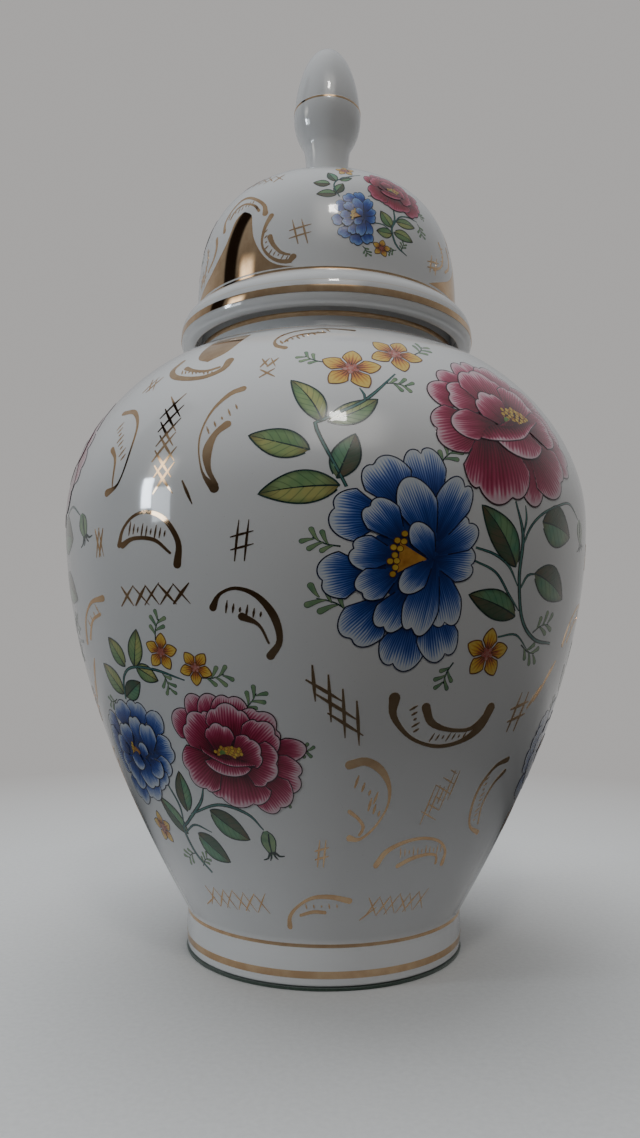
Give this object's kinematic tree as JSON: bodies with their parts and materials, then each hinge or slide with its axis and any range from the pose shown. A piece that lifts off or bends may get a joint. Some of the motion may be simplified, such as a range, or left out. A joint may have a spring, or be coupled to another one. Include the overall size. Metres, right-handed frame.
{
  "type": "ginger jar",
  "caption": "Lidded porcelain ginger jar: swelling belly on a plain round foot, domed lift-off lid with rolled flange and acorn finial, painted with flowers and gilt scrolls.",
  "frame": {"origin": "centre of the felt's underside, on the surface the jar stands on", "axes": "+Z is the jar's axis of rotation, upwards; the side painted with the large bouquet to the right of centre faces -Y; +X is to the right seen from that side"},
  "size_m": [0.25, 0.25, 0.454],
  "materials": {
    "porcelain_glaze": "high-gloss cool white glaze over porcelain",
    "green_felt": "dark green felt pad with a fuzzy cut edge",
    "gold_lustre": "mirror-bright fired gold film on the glaze",
    "flower_enamel": "glossy printed and painted enamel colours fired on the glaze"
  },
  "bodies": {
    "jar": {"jar_body": "porcelain_glaze", "foot_felt": "green_felt"},
    "lid": {"lid": "porcelain_glaze", "finial": "porcelain_glaze"}
  },
  "joints": [
    {"name": "lid_lift", "type": "slide", "parent": "jar", "child": "lid", "axis": [0, 0, 1], "range_m": [0, 0.18]}
  ]
}
